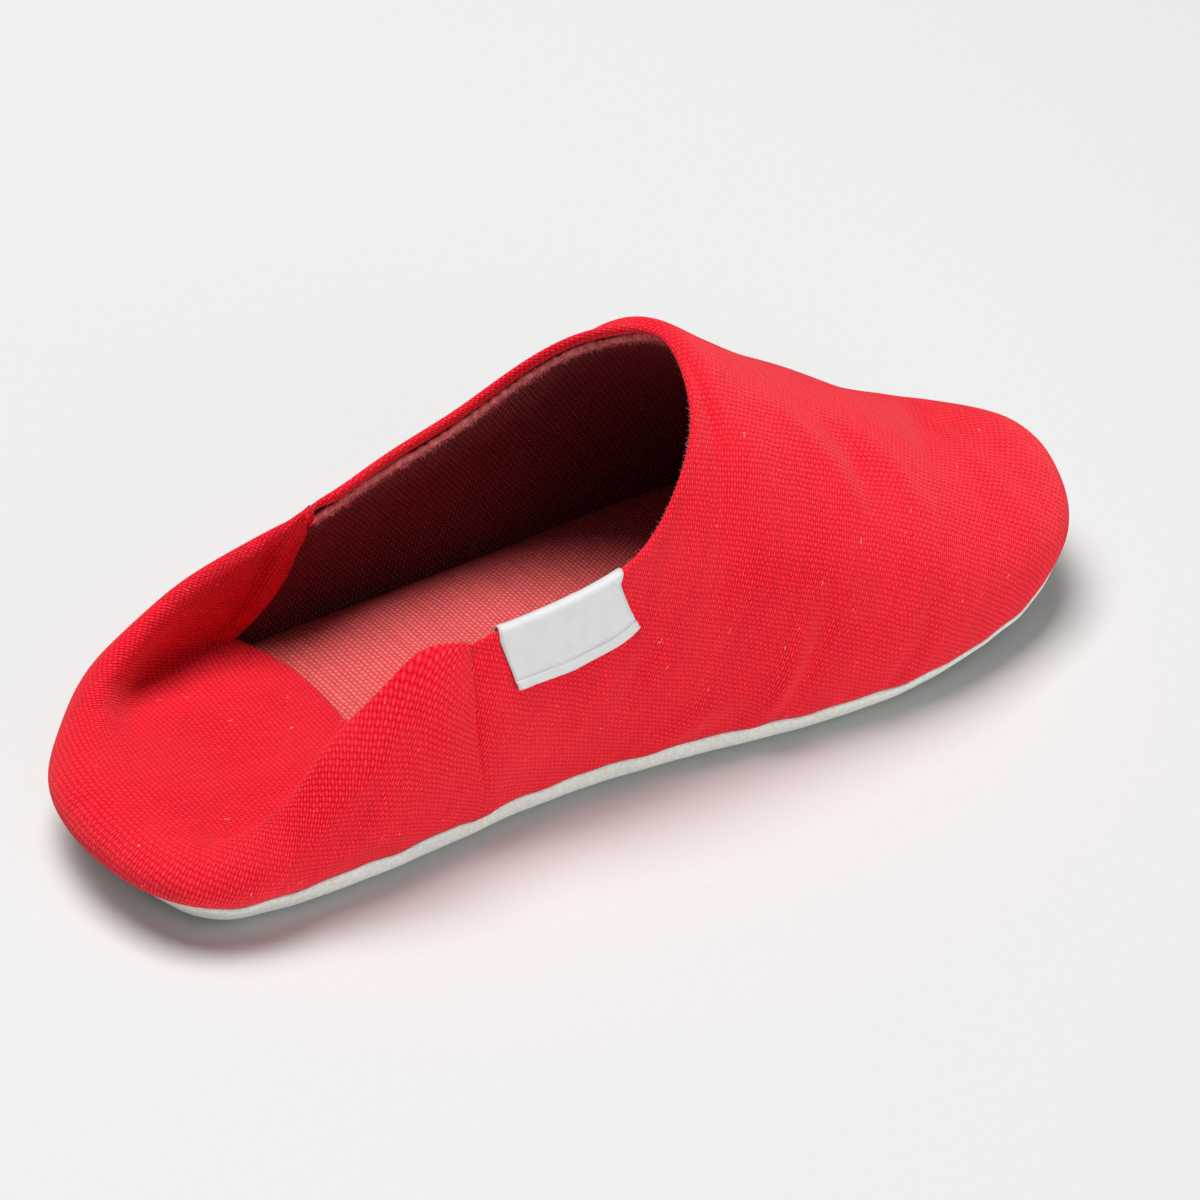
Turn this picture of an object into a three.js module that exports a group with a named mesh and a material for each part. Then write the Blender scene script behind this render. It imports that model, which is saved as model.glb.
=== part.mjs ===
// A left-foot babouche slipper: sole, insole, hollow upper with its heel trodden down, and a folded tag.
// Millimetres. +X runs to the toe, +Y to the outer side of the foot and +Z up; the floor is z = 0.
import * as THREE from 'three';

// Driving sizes.
const soleLength = 243.5;
const ballWidth = 90;
const instepHeight = 83.5;
const wallThickness = 2;
const gap = 0.3;
const rimHeight = 7;
const insoleHeight = 5;
const toeSpring = 6.5;
const toeSpringStart = 0.64;
const heelSpring = 1.8;
const heelSpringEnd = 0.08;
const tagThickness = 0.6;

// How finely the curved pieces are faceted.
const wallSteps = 10;
const flapSteps = 8;
const stationsPerRow = 3;
const outlineSamples = 400;

// The seam line where the upper meets the sole: half widths on the outer and inner side of the foot,
// as shares of the ball width, at shares of the sole's length from the heel.
const outline = table(['along', 'outer', 'inner'], [
  [0.008, 0.055, 0.215],
  [0.025, 0.155, 0.335],
  [0.053, 0.255, 0.396],
  [0.100, 0.352, 0.422],
  [0.180, 0.420, 0.426],
  [0.265, 0.436, 0.418],
  [0.345, 0.442, 0.402],
  [0.435, 0.448, 0.408],
  [0.520, 0.456, 0.436],
  [0.600, 0.470, 0.478],
  [0.680, 0.474, 0.512],
  [0.750, 0.460, 0.524],
  [0.820, 0.412, 0.504],
  [0.885, 0.334, 0.456],
  [0.932, 0.246, 0.392],
  [0.970, 0.140, 0.302],
  [0.991, 0.045, 0.192],
]);
const tipHalf = -0.055;
const heelHalf = -0.078;

// Ribs of the vamp and the side walls. way: share of the way round the seam line from toe to heel.
// Each rib climbs from the seam line to its top (topAlong, innerHalf or outerHalf, topHeight: shares of the
// sole's length, the ball width and the instep height). out: swell beyond the seam in mm. rise: how steeply it starts.
// lean: degrees from flat at the top. reach: length of the top's easing, in mm. square: how squarely the rib
// leaves the middle line, from 0 to 1.
const wallRibs = table(
  ['way', 'topAlong', 'innerHalf', 'outerHalf', 'topHeight', 'out', 'rise', 'lean', 'reach', 'square'],
  [
    [0.000, 0.908, 0.000, 0.000, 0.430, 6.0, 0.62, 0, 11, 0.0],
    [0.060, 0.902, 0.000, 0.000, 0.438, 5.6, 0.62, 0, 12, 0.0],
    [0.120, 0.885, 0.000, 0.000, 0.460, 4.8, 0.62, 0, 14, 0.2],
    [0.190, 0.845, 0.000, 0.000, 0.528, 3.8, 0.62, 0, 18, 0.5],
    [0.260, 0.785, 0.000, 0.000, 0.640, 3.8, 0.62, 0, 22, 0.8],
    [0.340, 0.705, 0.000, 0.000, 0.780, 4.0, 0.62, 0, 24, 1.0],
    [0.400, 0.640, 0.000, 0.000, 0.905, 4.0, 0.60, 0, 24, 1.0],
    [0.445, 0.592, 0.000, 0.000, 1.000, 4.0, 0.58, 0, 23, 1.0],
    [0.450, 0.5895, 0.028, 0.025, 0.9965, 4.0, 0.576, 5, 21.8, 0.94],
    [0.470, 0.583, 0.137, 0.120, 0.958, 4.0, 0.56, 26, 17, 0.7],
    [0.500, 0.556, 0.276, 0.248, 0.886, 4.0, 0.54, 44, 13, 0.3],
    [0.540, 0.493, 0.390, 0.352, 0.724, 4.0, 0.50, 60, 10, 0.0],
    [0.565, 0.455, 0.406, 0.365, 0.663, 4.0, 0.49, 64, 9, 0.0],
    [0.600, 0.403, 0.400, 0.370, 0.619, 4.0, 0.48, 68, 8, 0.0],
    [0.675, 0.299, 0.365, 0.317, 0.568, 4.0, 0.46, 72, 7, 0.0],
  ],
);
const sideSeamWay = 0.675;
const seamLead = 0.05;

// Ribs of the heel quarter, whose top is folded inward, in mm. out: swell beyond the seam. round: how
// broadly the fold turns. innerIn, outerIn, innerUp, outerUp: the fold's distance in from the seam line and
// its height on each side of the foot. valleyIn, valleyUp: where the folded part reaches the insole.
// edgeAlong, edgeHalf, edgeUp: its free edge.
const heelRibs = table(
  ['way', 'out', 'round', 'innerIn', 'outerIn', 'innerUp', 'outerUp', 'valleyIn', 'valleyUp',
    'edgeAlong', 'edgeHalf', 'edgeUp'],
  [
    [0.675, 4.0, 2.0, 4.2, 7.8, 47.4, 47.4, 5.5, 47.4, 71.0, 33.0, 47.4],
    [0.690, 4.0, 3.0, 4.2, 6.6, 50.2, 44.5, 8.8, 40.5, 70.0, 31.0, 37.5],
    [0.715, 4.2, 3.4, 4.0, 5.0, 53.8, 40.5, 7.0, 28.0, 65.2, 33.4, 25.0],
    [0.745, 4.6, 3.4, 3.6, 4.2, 50.2, 38.0, 2.6, 16.8, 58.0, 37.0, 15.6],
    [0.790, 5.2, 3.6, 3.2, 3.4, 40.2, 34.0, 2.0, 16.4, 61.5, 29.6, 15.1],
    [0.850, 6.0, 4.4, 2.4, 2.5, 26.0, 26.0, 6.0, 17.4, 63.4, 19.4, 15.0],
    [0.920, 6.4, 5.4, 2.0, 2.4, 20.8, 20.8, 9.5, 18.8, 63.2, 8.6, 15.0],
    [1.000, 5.0, 6.4, 2.2, 2.2, 20.4, 20.4, 11.0, 19.3, 62.4, 0.0, 15.0],
  ],
);
const foldWidth = 2.8;
const heelMiddle = -2;

// The sole's edge, from the flat underside out to the rim and over the top: distance in from the seam
// line in mm, and height as a share of the rim height.
const soleEdge = table(['inset', 'up'], [
  [8.0, 0.00],
  [4.2, 0.06],
  [1.8, 0.26],
  [0.5, 0.58],
  [0.0, 1.00],
]);

// The insole's edge, from below: distance in from the seam line in mm, and height as a share of its own.
const insoleEdge = table(['inset', 'up'], [
  [3.2, 0.00],
  [2.7, 0.30],
  [2.9, 0.72],
  [4.4, 1.00],
]);

// The tag's section across the collar, in mm: drop below the topline, lift over it, and distance out from
// the wall's outer face, negative inside the shoe.
const tagGap = 0.45;
const tagClear = tagGap + tagThickness;
const tagSection = table(['drop', 'over', 'out'], [
  [14.0, 0, tagClear],
  [10.5, 0, tagClear],
  [7.0, 0, tagClear],
  [3.5, 0, tagClear],
  [0.6, 0, tagClear],
  [0.0, tagClear, tagGap],
  [0.0, tagClear, -wallThickness - tagGap],
  [0.6, 0, -wallThickness - tagClear],
  [4.0, 0, -wallThickness - tagClear],
  [8.0, 0, -wallThickness - tagClear],
]);
const tagLength = 14;
const tagSteps = 6;

// The tag's ends toward the toe and the heel: where each crosses the topline, how far forward it leans on
// its way down, as a share of the way, and how far down it reaches in mm.
const tagEnds = [
  { way: 0.575, lean: 0.024, reach: 16.5 },
  { way: 0.656, lean: 0.010, reach: 12.5 },
];

const up = new THREE.Vector3(0, 0, 1);

// Turns rows of numbers into objects that carry the columns' names.
function table(columns, rows) {
  return rows.map((row) => Object.fromEntries(columns.map((name, i) => [name, row[i]])));
}

// Reads a column at a key by a cubic that never overshoots its rows.
function readTable(rows, keyColumn, column, key) {
  const last = rows.length - 1;
  const slope = (i) => (rows[i + 1][column] - rows[i][column]) / (rows[i + 1][keyColumn] - rows[i][keyColumn]);
  const tangent = (i) => {
    if (i === 0) return slope(0);
    if (i === last) return slope(last - 1);
    const before = slope(i - 1);
    const after = slope(i);
    return before * after <= 0 ? 0 : (2 * before * after) / (before + after);
  };
  let i = 0;
  while (i < last - 1 && key > rows[i + 1][keyColumn]) i += 1;
  const span = rows[i + 1][keyColumn] - rows[i][keyColumn];
  const t = THREE.MathUtils.clamp((key - rows[i][keyColumn]) / span, 0, 1);
  const rest = 1 - t;
  return rows[i][column] * (1 + 2 * t) * rest * rest
    + tangent(i) * span * t * rest * rest
    + rows[i + 1][column] * (3 - 2 * t) * t * t
    - tangent(i + 1) * span * t * t * rest;
}

// Height of the sole's underside: flat, with the toe and the very back of the heel turned up.
function springAt(x) {
  const along = x / soleLength;
  const toe = Math.max(0, (along - toeSpringStart) / (1 - toeSpringStart));
  const heel = Math.max(0, (heelSpringEnd - along) / heelSpringEnd);
  return toeSpring * toe ** 1.7 + heelSpring * heel ** 2;
}

// The whole seam line in plan, as one closed smooth curve: toe tip, inner side, heel, outer side.
function seamCurve() {
  const at = (row, half) => new THREE.Vector3(row.along * soleLength, half * ballWidth, 0);
  const tip = at({ along: 1 }, tipHalf);
  const inner = outline.map((row) => at(row, -row.inner)).reverse();
  const heel = at({ along: 0 }, heelHalf);
  const outer = outline.map((row) => at(row, row.outer));
  const points = [tip, ...inner, heel, ...outer];
  return new THREE.CatmullRomCurve3(points, true, 'centripetal');
}

// One side of the seam line from toe to heel, sampled finely with its running length.
function sidePath(side) {
  const curve = seamCurve();
  const heelAt = 0.5;
  const path = [];
  for (let i = 0; i <= outlineSamples; i += 1) {
    const t = (i / outlineSamples) * heelAt;
    path.push(curve.getPoint(side < 0 ? t : (1 - t) % 1));
  }
  const lengths = [0];
  for (let i = 1; i < path.length; i += 1) lengths.push(lengths[i - 1] + path[i].distanceTo(path[i - 1]));
  return { path, lengths };
}

const sides = { [-1]: sidePath(-1), [1]: sidePath(1) };

// The point on the seam line a share of the way from toe to heel, on the floor plan.
function planAt(side, way) {
  const { path, lengths } = sides[side];
  const target = way * lengths[lengths.length - 1];
  let i = 1;
  while (i < lengths.length - 1 && lengths[i] < target) i += 1;
  const t = (target - lengths[i - 1]) / (lengths[i] - lengths[i - 1]);
  return path[i - 1].clone().lerp(path[i], t);
}

// The seam line's outward direction in plan.
function outwardAt(side, way) {
  const step = 0.004;
  const ahead = planAt(side, Math.min(1, way + step));
  const behind = planAt(side, Math.max(0, way - step));
  if (way - step < 0) behind.copy(planAt(-side, step - way));
  if (way + step > 1) ahead.copy(planAt(-side, 2 - way - step));
  const along = ahead.sub(behind).normalize();
  return new THREE.Vector3(along.y, -along.x, 0).multiplyScalar(-side).negate();
}

// A point inside or outside the seam line, at a height above the sole's own underside.
function rimPoint(side, way, inset, height) {
  const point = planAt(side, way).addScaledVector(outwardAt(side, way), -inset);
  point.z = springAt(planAt(side, way).x) + height;
  return point;
}

const foot = (side, way) => rimPoint(side, way, 0, rimHeight + gap);

// The middle line of the vamp swings inward toward the toe.
function middleAt(along) {
  return tipHalf * ballWidth * Math.max(0, (along - 0.6) / 0.4) ** 1.5;
}

// The curve of one rib of the vamp or a side wall, from the seam line to the top.
function wallCurve(side, way) {
  const read = (column) => readTable(wallRibs, 'way', column, way);
  const start = foot(side, way);
  const outward = outwardAt(side, way);
  const top = new THREE.Vector3(
    read('topAlong') * soleLength,
    middleAt(read('topAlong')) + side * read(side < 0 ? 'innerHalf' : 'outerHalf') * ballWidth,
    read('topHeight') * instepHeight,
  );
  const across = new THREE.Vector3(0, side, 0);
  const level = start.clone().sub(top).setZ(0).normalize().lerp(across, read('square')).normalize();
  const lean = THREE.MathUtils.degToRad(read('lean'));
  const swell = start.clone()
    .addScaledVector(outward, read('out') * 1.9)
    .addScaledVector(up, read('rise') * (top.z - start.z));
  const ease = top.clone()
    .addScaledVector(level, Math.cos(lean) * read('reach'))
    .addScaledVector(up, -Math.sin(lean) * read('reach'));
  return new THREE.CubicBezierCurve3(start, swell, ease, top);
}

const wallRib = (side, way) => wallCurve(side, way).getPoints(wallSteps);

// The fold of a heel rib, its highest point, as the table gives it.
function tabledRidge(side, way) {
  const ridge = rimPoint(side, way, readTable(heelRibs, 'way', side < 0 ? 'innerIn' : 'outerIn', way), 0);
  ridge.z = readTable(heelRibs, 'way', side < 0 ? 'innerUp' : 'outerUp', way);
  return ridge;
}

// The fold led into the top of the side seam, where the wall's own topline ends.
function ridgeAt(side, way) {
  const seamTop = wallCurve(side, sideSeamWay).getPoint(1);
  const lead = seamTop.sub(tabledRidge(side, sideSeamWay));
  const left = 1 - THREE.MathUtils.smoothstep(way, sideSeamWay, sideSeamWay + seamLead);
  return tabledRidge(side, way).addScaledVector(lead, left);
}

// One rib of the heel quarter, from the seam line up to the fold.
function heelWallRib(side, way) {
  const read = (column) => readTable(heelRibs, 'way', column, way);
  const start = foot(side, way);
  const outward = outwardAt(side, way);
  const ridge = ridgeAt(side, way);
  const rise = ridge.z - start.z;
  const swell = start.clone().addScaledVector(outward, read('out') * 1.7).addScaledVector(up, rise * 0.35);
  const folded = THREE.MathUtils.smoothstep(way, sideSeamWay, sideSeamWay + 0.03);
  const ease = ridge.clone()
    .addScaledVector(outward, read('round') * (0.6 + 0.4 * folded))
    .addScaledVector(up, -(1 - folded) * 6 - rise * 0.05);
  return new THREE.CubicBezierCurve3(start, swell, ease, ridge).getPoints(wallSteps);
}

// The folded part of a heel rib, from the fold down to the insole and forward to the free edge.
function flapRib(side, way) {
  const read = (column) => readTable(heelRibs, 'way', column, way);
  const ridge = ridgeAt(side, way);
  const valley = rimPoint(side, way, read('valleyIn'), 0);
  valley.z = read('valleyUp');
  const edge = new THREE.Vector3(read('edgeAlong'), heelMiddle + side * read('edgeHalf'), read('edgeUp'));
  const shoulder = ridge.clone().addScaledVector(outwardAt(side, way), -foldWidth);
  shoulder.z = THREE.MathUtils.lerp(ridge.z, valley.z, 0.18);
  const lap = valley.clone().lerp(edge, 0.5);
  lap.z = THREE.MathUtils.lerp(valley.z, edge.z, 0.85);
  const curve = new THREE.CatmullRomCurve3([ridge, shoulder, valley, lap, edge], false, 'centripetal');
  return curve.getPoints(flapSteps);
}

// Shares of the way at which ribs stand, evenly between the rows of a table.
function stationsOf(rows) {
  const ways = [];
  for (let i = 0; i < rows.length - 1; i += 1) {
    for (let k = 0; k < stationsPerRow; k += 1) {
      ways.push(THREE.MathUtils.lerp(rows[i].way, rows[i + 1].way, k / stationsPerRow));
    }
  }
  ways.push(rows[rows.length - 1].way);
  return ways;
}

// Triangles between neighbouring rows of points, without those that have no area.
function stitch(rows, flip) {
  const triangles = [];
  const add = (a, b, c) => {
    const apart = a.distanceTo(b) > 1e-4 && b.distanceTo(c) > 1e-4 && c.distanceTo(a) > 1e-4;
    if (apart) triangles.push(flip ? [a, c, b] : [a, b, c]);
  };
  for (let i = 0; i < rows.length - 1; i += 1) {
    for (let j = 0; j < rows[i].length - 1; j += 1) {
      add(rows[i][j], rows[i + 1][j], rows[i + 1][j + 1]);
      add(rows[i][j], rows[i + 1][j + 1], rows[i][j + 1]);
    }
  }
  return triangles;
}

// Gives each separate position one index, and lists the triangles by index.
function weld(triangles) {
  const points = [];
  const seen = new Map();
  const indexOf = (p) => {
    const key = [p.x, p.y, p.z].map((value) => Math.round(value * 1000)).join();
    if (!seen.has(key)) {
      seen.set(key, points.length);
      points.push(p);
    }
    return seen.get(key);
  };
  const faces = triangles.map((corners) => corners.map(indexOf)).filter(([a, b, c]) => a !== b && b !== c && c !== a);
  return { points, faces };
}

// The average direction of the faces round each point.
function pointNormals({ points, faces }) {
  const normals = points.map(() => new THREE.Vector3());
  for (const [a, b, c] of faces) {
    const ab = points[b].clone().sub(points[a]);
    const ac = points[c].clone().sub(points[a]);
    const face = ab.cross(ac);
    for (const i of [a, b, c]) normals[i].add(face);
  }
  return normals.map((normal) => normal.normalize());
}

// Turns an open sheet into a closed wall: its own face, a second face behind it, and the edges between.
function thicken(sheet, thickness) {
  const normals = pointNormals(sheet);
  const count = sheet.points.length;
  const behind = sheet.points.map((p, i) => p.clone().addScaledVector(normals[i], -thickness));
  const faces = [...sheet.faces, ...sheet.faces.map(([a, b, c]) => [a + count, c + count, b + count])];
  const directed = new Set(sheet.faces.flatMap(([a, b, c]) => [`${a},${b}`, `${b},${c}`, `${c},${a}`]));
  for (const edge of directed) {
    const [a, b] = edge.split(',').map(Number);
    if (!directed.has(`${b},${a}`)) faces.push([b, a, a + count], [b, a + count, b + count]);
  }
  return { points: [...sheet.points, ...behind], faces };
}

function meshOf(name, { points, faces }, look) {
  const geometry = new THREE.BufferGeometry();
  geometry.setAttribute('position', new THREE.Float32BufferAttribute(points.flatMap((p) => p.toArray()), 3));
  geometry.setIndex(faces.flat());
  const mesh = new THREE.Mesh(geometry, new THREE.MeshStandardMaterial(look));
  mesh.name = name;
  return mesh;
}

// A pad built from rings that follow the seam line; ladders across the foot close its two faces.
function padSolid(edge, base, height) {
  const ways = stationsOf([...wallRibs.slice(0, -1), ...heelRibs]);
  const ringOf = ({ inset, up: share }) => {
    const outer = ways.map((way) => rimPoint(-1, way, inset, base + share * height));
    const inner = ways.slice(1, -1).reverse().map((way) => rimPoint(1, way, inset, base + share * height));
    return [...outer, ...inner, outer[0]];
  };
  const rings = edge.map(ringOf);
  const ladder = (ring) => {
    const half = ways.length;
    const outer = ring.slice(0, half);
    const inner = [ring[0], ...ring.slice(half, -1).reverse(), ring[half - 1]];
    return outer.map((point, i) => [point, inner[i]]);
  };
  const bottom = stitch(ladder(rings[0]), false);
  const top = stitch(ladder(rings[rings.length - 1]), true);
  return weld([...stitch(rings, false), ...bottom, ...top]);
}

// Every rib of the upper in order round the shoe, and the folded parts of the heel's ribs.
function upperSheet() {
  const front = stationsOf(wallRibs);
  const heel = stationsOf(heelRibs);
  const ring = [
    ...front.map((way) => wallRib(-1, way)),
    ...heel.slice(1).map((way) => heelWallRib(-1, way)),
    ...heel.slice(1, -1).reverse().map((way) => heelWallRib(1, way)),
    ...front.slice().reverse().map((way) => wallRib(1, way)),
  ];
  const seamTop = (side) => {
    const top = wallRib(side, sideSeamWay)[wallSteps];
    return Array.from({ length: flapSteps + 1 }, () => top);
  };
  const flaps = [
    seamTop(-1),
    ...heel.slice(1).map((way) => flapRib(-1, way)),
    ...heel.slice(1, -1).reverse().map((way) => flapRib(1, way)),
    seamTop(1),
  ];
  return weld([...stitch(ring, true), ...stitch(flaps, true)]);
}

// The tag's outer face: down the outside of the collar, over the topline and down the inside.
function tagSheet() {
  const rows = [];
  for (let i = 0; i <= tagSteps; i += 1) {
    const read = (name) => THREE.MathUtils.lerp(tagEnds[0][name], tagEnds[1][name], i / tagSteps);
    rows.push(tagSection.map(({ drop, over, out }) => {
      const down = drop / tagLength;
      const way = read('way') - read('lean') * down;
      const rib = wallCurve(-1, way);
      const next = wallCurve(-1, way + 0.002);
      const share = 1 - (down * read('reach')) / rib.getLength();
      const climb = rib.getTangentAt(share);
      const back = next.getPointAt(share).sub(rib.getPointAt(share)).normalize();
      const outward = climb.clone().cross(back).normalize();
      return rib.getPointAt(share).addScaledVector(outward, out).addScaledVector(climb, over);
    }));
  }
  return weld(stitch(rows, true));
}

function makeUpper() {
  return meshOf('upper', thicken(upperSheet(), wallThickness), { color: '#d8202c', roughness: 0.95, metalness: 0 });
}

function makeSole() {
  return meshOf('sole', padSolid(soleEdge, 0, rimHeight), { color: '#c3c9be', roughness: 0.9, metalness: 0 });
}

function makeInsole() {
  const solid = padSolid(insoleEdge, rimHeight + gap, insoleHeight);
  return meshOf('insole', solid, { color: '#b04a4c', roughness: 0.95, metalness: 0 });
}

function makeTag() {
  return meshOf('tag', thicken(tagSheet(), tagThickness), { color: '#eeeeec', roughness: 0.6, metalness: 0 });
}

const slipper = new THREE.Group();
slipper.add(makeUpper(), makeSole(), makeInsole(), makeTag());

// The frame's origin is on the floor, below the middle of the whole shoe.
const box = new THREE.Box3().setFromObject(slipper);
const middle = box.getCenter(new THREE.Vector3());
slipper.position.set(-middle.x, -middle.y, 0);

export default slipper;
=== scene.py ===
import math

import bpy
import numpy as np
from mathutils import Matrix, Vector


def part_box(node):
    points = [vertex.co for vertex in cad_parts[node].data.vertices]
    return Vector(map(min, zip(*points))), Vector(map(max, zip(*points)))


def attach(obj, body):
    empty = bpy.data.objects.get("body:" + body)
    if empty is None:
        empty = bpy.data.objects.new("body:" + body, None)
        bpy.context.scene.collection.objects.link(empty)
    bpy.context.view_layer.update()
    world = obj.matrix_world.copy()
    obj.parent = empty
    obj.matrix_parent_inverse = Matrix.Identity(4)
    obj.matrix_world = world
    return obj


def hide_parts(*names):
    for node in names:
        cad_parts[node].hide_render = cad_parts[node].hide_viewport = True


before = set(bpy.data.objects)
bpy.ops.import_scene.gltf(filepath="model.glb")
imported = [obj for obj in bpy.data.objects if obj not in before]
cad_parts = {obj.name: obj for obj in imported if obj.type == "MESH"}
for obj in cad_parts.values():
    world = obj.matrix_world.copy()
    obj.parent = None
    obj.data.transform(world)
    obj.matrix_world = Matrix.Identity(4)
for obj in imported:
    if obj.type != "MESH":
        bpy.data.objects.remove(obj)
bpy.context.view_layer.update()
print("slipper: frame loaded")

# Driving sizes in millimetres. x runs from the heel seam to the toe, y to the outer side, z up.
slipper = {
    "soleLength": 243.5,
    "ballWidth": 90.0,
    "instepHeight": 83.5,
    "rimHeight": 7.0,  # where the sole's edge meets the upper
    "seamGap": 0.3,
    "toeSpring": 6.5,
    "toeSpringStart": 0.64,
    "heelSpring": 1.8,
    "heelSpringEnd": 0.08,
    "tipHalf": -0.055,
    "heelHalf": -0.078,
    "throatWay": 0.445,  # ways are shares of the seam line from toe to heel
    "sideSeamWay": 0.675,
    "seamLead": 0.05,
    "swell": 1.9,  # how strongly a rib's lower part follows its outward reach
    "wall": 2.0,
}
seamWay = slipper["sideSeamWay"]
up = np.array([0.0, 0.0, 1.0])


def table(columns, rows):
    return dict(zip(columns, np.array(rows, float).T))


# Half widths of the seam line on the outer and inner side, as shares of the ball width.
outline = table(("along", "outer", "inner"), [
    (0.008, 0.055, 0.215),
    (0.025, 0.155, 0.335),
    (0.053, 0.255, 0.396),
    (0.100, 0.352, 0.422),
    (0.180, 0.420, 0.426),
    (0.265, 0.436, 0.418),
    (0.345, 0.442, 0.402),
    (0.435, 0.448, 0.408),
    (0.520, 0.456, 0.436),
    (0.600, 0.470, 0.478),
    (0.680, 0.474, 0.512),
    (0.750, 0.460, 0.524),
    (0.820, 0.412, 0.504),
    (0.885, 0.334, 0.456),
    (0.932, 0.246, 0.392),
    (0.970, 0.140, 0.302),
    (0.991, 0.045, 0.192),
])

# Ribs of the vamp and side walls: where each ends on top, how far it swells and how it arrives there.
wallRibs = table(
    ("way", "topAlong", "innerHalf", "outerHalf", "topHeight", "out", "rise", "lean", "reach", "square"), [
        (0.000, 0.908, 0.000, 0.000, 0.430, 6.0, 0.62, 0, 11, 0.0),
        (0.060, 0.902, 0.000, 0.000, 0.438, 5.6, 0.62, 0, 12, 0.0),
        (0.120, 0.885, 0.000, 0.000, 0.460, 4.8, 0.62, 0, 14, 0.2),
        (0.190, 0.845, 0.000, 0.000, 0.528, 3.8, 0.62, 0, 18, 0.5),
        (0.260, 0.785, 0.000, 0.000, 0.640, 3.8, 0.62, 0, 22, 0.8),
        (0.340, 0.705, 0.000, 0.000, 0.780, 4.0, 0.62, 0, 24, 1.0),
        (0.400, 0.640, 0.000, 0.000, 0.905, 4.0, 0.60, 0, 24, 1.0),
        (0.445, 0.592, 0.000, 0.000, 1.000, 4.0, 0.58, 0, 23, 1.0),
        (0.450, 0.5895, 0.028, 0.025, 0.9965, 4.0, 0.576, 5, 21.8, 0.94),
        (0.470, 0.583, 0.137, 0.120, 0.958, 4.0, 0.56, 26, 17, 0.7),
        (0.500, 0.556, 0.276, 0.248, 0.886, 4.0, 0.54, 44, 13, 0.3),
        (0.540, 0.493, 0.390, 0.352, 0.724, 4.0, 0.50, 60, 10, 0.0),
        (0.565, 0.455, 0.406, 0.365, 0.663, 4.0, 0.49, 64, 9, 0.0),
        (0.600, 0.403, 0.400, 0.370, 0.619, 4.0, 0.48, 68, 8, 0.0),
        (0.675, 0.299, 0.365, 0.317, 0.568, 4.0, 0.46, 72, 7, 0.0),
    ])

# Ribs of the heel quarter in millimetres: the fold on each side, then the trodden part down to its edge.
heelRibs = table(
    ("way", "out", "round", "innerIn", "outerIn", "innerUp", "outerUp", "valleyIn", "valleyUp",
     "edgeAlong", "edgeHalf", "edgeUp"), [
        (0.675, 4.0, 2.0, 4.2, 7.8, 47.4, 47.4, 5.5, 47.4, 71.0, 33.0, 47.4),
        (0.690, 4.0, 3.0, 4.2, 6.6, 50.2, 44.5, 8.8, 40.5, 70.0, 31.0, 37.5),
        (0.715, 4.2, 3.4, 4.0, 5.0, 53.8, 40.5, 7.0, 28.0, 65.2, 33.4, 25.0),
        (0.745, 4.6, 3.4, 3.6, 4.2, 50.2, 38.0, 2.6, 16.8, 58.0, 37.0, 15.6),
        (0.790, 5.2, 3.6, 3.2, 3.4, 40.2, 34.0, 2.0, 16.4, 61.5, 29.6, 15.1),
        (0.850, 6.0, 4.4, 2.4, 2.5, 26.0, 26.0, 6.0, 17.4, 63.4, 19.4, 15.0),
        (0.920, 6.4, 5.4, 2.0, 2.4, 20.8, 20.8, 9.5, 18.8, 63.2, 8.6, 15.0),
        (1.000, 5.0, 6.4, 2.2, 2.2, 20.4, 20.4, 11.0, 19.3, 62.4, 0.0, 15.0),
    ])


def unit(vectors):
    return vectors / np.maximum(np.linalg.norm(vectors, axis=-1, keepdims=True), 1e-9)


def bell(value, width):
    return np.exp(-((value / width) ** 2))


def smoothstep(value, low, high):
    share = np.clip((value - low) / (high - low), 0, 1)
    return share * share * (3 - 2 * share)


# Lengths along a line of points, and the line read at such lengths.
def runOf(line):
    return np.concatenate([[0], np.cumsum(np.linalg.norm(np.diff(line, axis=0), axis=1))])


def readLine(line, run, at):
    return np.stack([np.interp(at, run, line[:, k]) for k in range(3)], -1)


# A cubic through a table's rows that never overshoots them.
def readTable(rows, key, column, at):
    x, y = rows[key], rows[column]
    slopes = np.diff(y) / np.diff(x)
    product = slopes[:-1] * slopes[1:]
    total = np.where(product > 0, slopes[:-1] + slopes[1:], 1)
    tangents = np.concatenate([slopes[:1], np.where(product > 0, 2 * product / total, 0), slopes[-1:]])
    i = np.clip(np.searchsorted(x, at) - 1, 0, len(x) - 2)
    span = x[i + 1] - x[i]
    t = np.clip((at - x[i]) / span, 0, 1)
    rest = 1 - t
    start = y[i] * (1 + 2 * t) * rest**2 + tangents[i] * span * t * rest**2
    end = y[i + 1] * (3 - 2 * t) * t**2 - tangents[i + 1] * span * t**2 * rest
    return start + end


def reader(rows, ways):
    return lambda column: readTable(rows, "way", column, ways)[:, None]


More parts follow.
